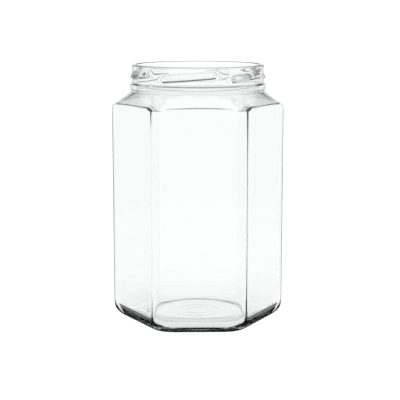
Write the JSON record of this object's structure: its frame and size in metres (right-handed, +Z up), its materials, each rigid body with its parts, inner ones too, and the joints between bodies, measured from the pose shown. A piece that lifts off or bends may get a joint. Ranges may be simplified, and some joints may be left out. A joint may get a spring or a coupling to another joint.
{
  "type": "hexagonal glass jar",
  "caption": "Empty clear glass jar: hexagonal body with rounded corners and heel, sloping shoulder, round lug-thread mouth and shallow pushed-up base.",
  "frame": {"origin": "middle of the foot ring, on the surface the jar stands on", "axes": "+Z up the jar's axis to the mouth, -Y out of the front face, X across two opposite corners"},
  "size_m": [0.1022, 0.0904, 0.154],
  "materials": {
    "clear_glass": "clear, polished soda-lime glass"
  },
  "bodies": {
    "root": {"glass_jar": "clear_glass"}
  },
  "joints": []
}
